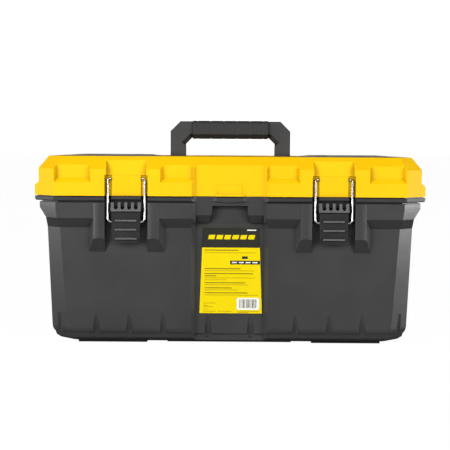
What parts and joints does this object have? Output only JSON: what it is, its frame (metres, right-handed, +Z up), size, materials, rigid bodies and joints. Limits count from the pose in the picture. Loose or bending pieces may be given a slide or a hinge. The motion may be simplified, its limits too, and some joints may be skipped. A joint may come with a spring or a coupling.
{
  "type": "toolbox with tray",
  "caption": "Long tapered toolbox with a hinged lid, wire latches, lidded organisers on top, a fold-down carrying handle and a lift-out inner tray.",
  "frame": {"origin": "centre of the overall box at the floor, lid closed and handle upright", "axes": "+X along the length to the right seen from the front, +Y to the back, +Z up"},
  "size_m": [0.562, 0.278, 0.3233],
  "materials": {
    "charcoal_plastic": "fine moulded texture, satin",
    "yellow_plastic": "satin moulded",
    "steel": "plain rod",
    "chrome": "bright plated wire",
    "smoked_clear": "translucent, smoked",
    "grip": "matt overmoulded",
    "tray_plastic": "fine moulded texture",
    "label": "printed film"
  },
  "bodies": {
    "box": {"lower_box": "charcoal_plastic", "front_label": "label", "lid_hinge_pin_left": "steel", "lid_hinge_pin_right": "steel", "latch_pin_left": "steel", "latch_pin_right": "steel"},
    "lid": {"lid_shell": "yellow_plastic", "handle_pin_left": "steel", "handle_pin_right": "steel", "organizer_pin_left": "steel", "organizer_pin_right": "steel"},
    "handle": {"handle_frame": "charcoal_plastic", "handle_grip": "grip"},
    "lever_left": {"latch_lever_left": "charcoal_plastic"},
    "lever_right": {"latch_lever_right": "charcoal_plastic"},
    "bail_left": {"latch_bail_left": "chrome"},
    "bail_right": {"latch_bail_right": "chrome"},
    "cover_left": {"organizer_cover_left": "smoked_clear"},
    "cover_right": {"organizer_cover_right": "smoked_clear"},
    "tray": {"tray": "tray_plastic"}
  },
  "joints": [
    {"name": "lid_hinge", "type": "hinge", "parent": "box", "child": "lid", "pos_m": [0, 0.135, 0.2138], "axis": [-1, 0, 0], "range_deg": [0, 100]},
    {"name": "handle_fold", "type": "hinge", "parent": "lid", "child": "handle", "pos_m": [0, 0, 0.2625], "axis": [-1, 0, 0], "range_deg": [0, 90]},
    {"name": "latch_lever_left", "type": "hinge", "parent": "box", "child": "lever_left", "pos_m": [-0.147, -0.1295, 0.1995], "axis": [-1, 0, 0], "range_deg": [0, 95]},
    {"name": "latch_bail_left", "type": "hinge", "parent": "lever_left", "child": "bail_left", "pos_m": [-0.147, -0.1322, 0.1769], "axis": [-1, 0, 0], "range_deg": [-115, 0]},
    {"name": "organizer_cover_left", "type": "hinge", "parent": "lid", "child": "cover_left", "pos_m": [-0.178, 0.0955, 0.2689], "axis": [-1, 0, 0], "range_deg": [0, 110]},
    {"name": "latch_lever_right", "type": "hinge", "parent": "box", "child": "lever_right", "pos_m": [0.147, -0.1295, 0.1995], "axis": [-1, 0, 0], "range_deg": [0, 95]},
    {"name": "latch_bail_right", "type": "hinge", "parent": "lever_right", "child": "bail_right", "pos_m": [0.147, -0.1322, 0.1769], "axis": [-1, 0, 0], "range_deg": [-115, 0]},
    {"name": "organizer_cover_right", "type": "hinge", "parent": "lid", "child": "cover_right", "pos_m": [0.178, 0.0955, 0.2689], "axis": [-1, 0, 0], "range_deg": [0, 110]},
    {"name": "tray_lift", "type": "slide", "parent": "box", "child": "tray", "axis": [0, 0, 1], "range_m": [0, 0.007]}
  ],
  "couplings": [
    {"joint": "latch_bail_left", "follows": "latch_lever_left", "ratio": -1.2},
    {"joint": "latch_bail_right", "follows": "latch_lever_right", "ratio": -1.2}
  ]
}
